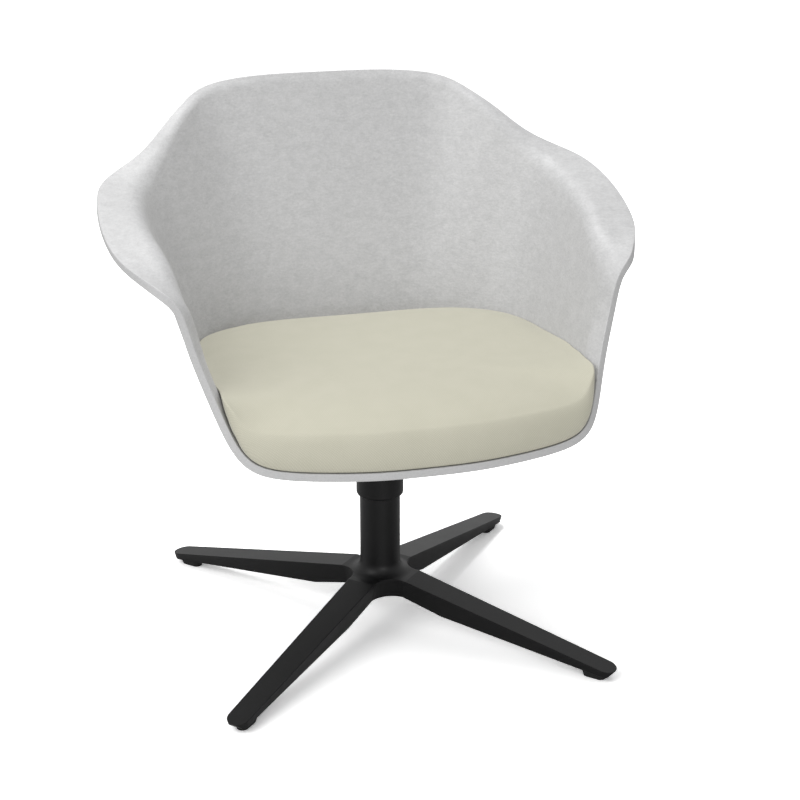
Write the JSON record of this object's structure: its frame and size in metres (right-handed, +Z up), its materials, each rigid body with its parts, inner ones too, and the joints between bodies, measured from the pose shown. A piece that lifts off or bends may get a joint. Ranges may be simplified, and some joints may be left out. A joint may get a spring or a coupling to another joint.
{
  "type": "pedestal swivel armchair",
  "caption": "Low armchair with a one-piece moulded felt tub and flared armrests, a crowned seat cushion and a swivel pedestal on a star base.",
  "frame": {"origin": "on the floor, under the middle of the chair's outline; the swivel axis stands 37 mm in front of it", "axes": "+Z up along the swivel axis, -Y towards the front of the seat, +X towards the left arm of a person sitting in it"},
  "size_m": [0.6852, 0.5771, 0.6952],
  "materials": {
    "black_aluminium": "satin black powder coat on cast aluminium",
    "black_steel": "satin black powder coat on steel",
    "grey_felt": "moulded polyester felt, light grey, finely mottled",
    "cream_fabric": "close flat weave, greenish cream",
    "board_plastic": "matte",
    "hook_tape": "black hook-and-loop tape",
    "black_plastic": "matte",
    "bush_plastic": "smooth bearing plastic",
    "bearing_steel": "ground steel",
    "zinc_steel": "bright zinc plated"
  },
  "bodies": {
    "base": {"star_base": "black_aluminium", "glide_front_left": "black_plastic", "glide_front_right": "black_plastic", "glide_back_left": "black_plastic", "glide_back_right": "black_plastic", "lower_bush": "bush_plastic", "upper_bush": "bush_plastic", "lower_race": "bearing_steel", "hub_cap": "black_plastic"},
    "bearing_cage": {"ball_cage": "bush_plastic", "bearing_balls": "bearing_steel"},
    "seat": {"upper_race": "bearing_steel", "spindle": "bearing_steel", "stop_washer": "bearing_steel", "circlip": "bearing_steel", "seat_carrier": "black_steel", "seat_bolts": "zinc_steel", "bolt_washers": "zinc_steel", "clamp_plate": "zinc_steel", "weld_nuts": "zinc_steel", "hook_tape": "hook_tape", "loop_tape": "hook_tape", "felt_shell": "grey_felt", "cushion_board": "board_plastic", "seat_cushion": "cream_fabric"}
  },
  "joints": [
    {"name": "swivel", "type": "hinge", "parent": "base", "child": "seat", "pos_m": [0, -0.037, 0], "axis": [0, 0, 1], "continuous": true},
    {"name": "cage_spin", "type": "hinge", "parent": "base", "child": "bearing_cage", "pos_m": [0, -0.037, 0], "axis": [0, 0, 1], "continuous": true}
  ],
  "couplings": [
    {"joint": "cage_spin", "follows": "swivel", "ratio": 0.5}
  ]
}
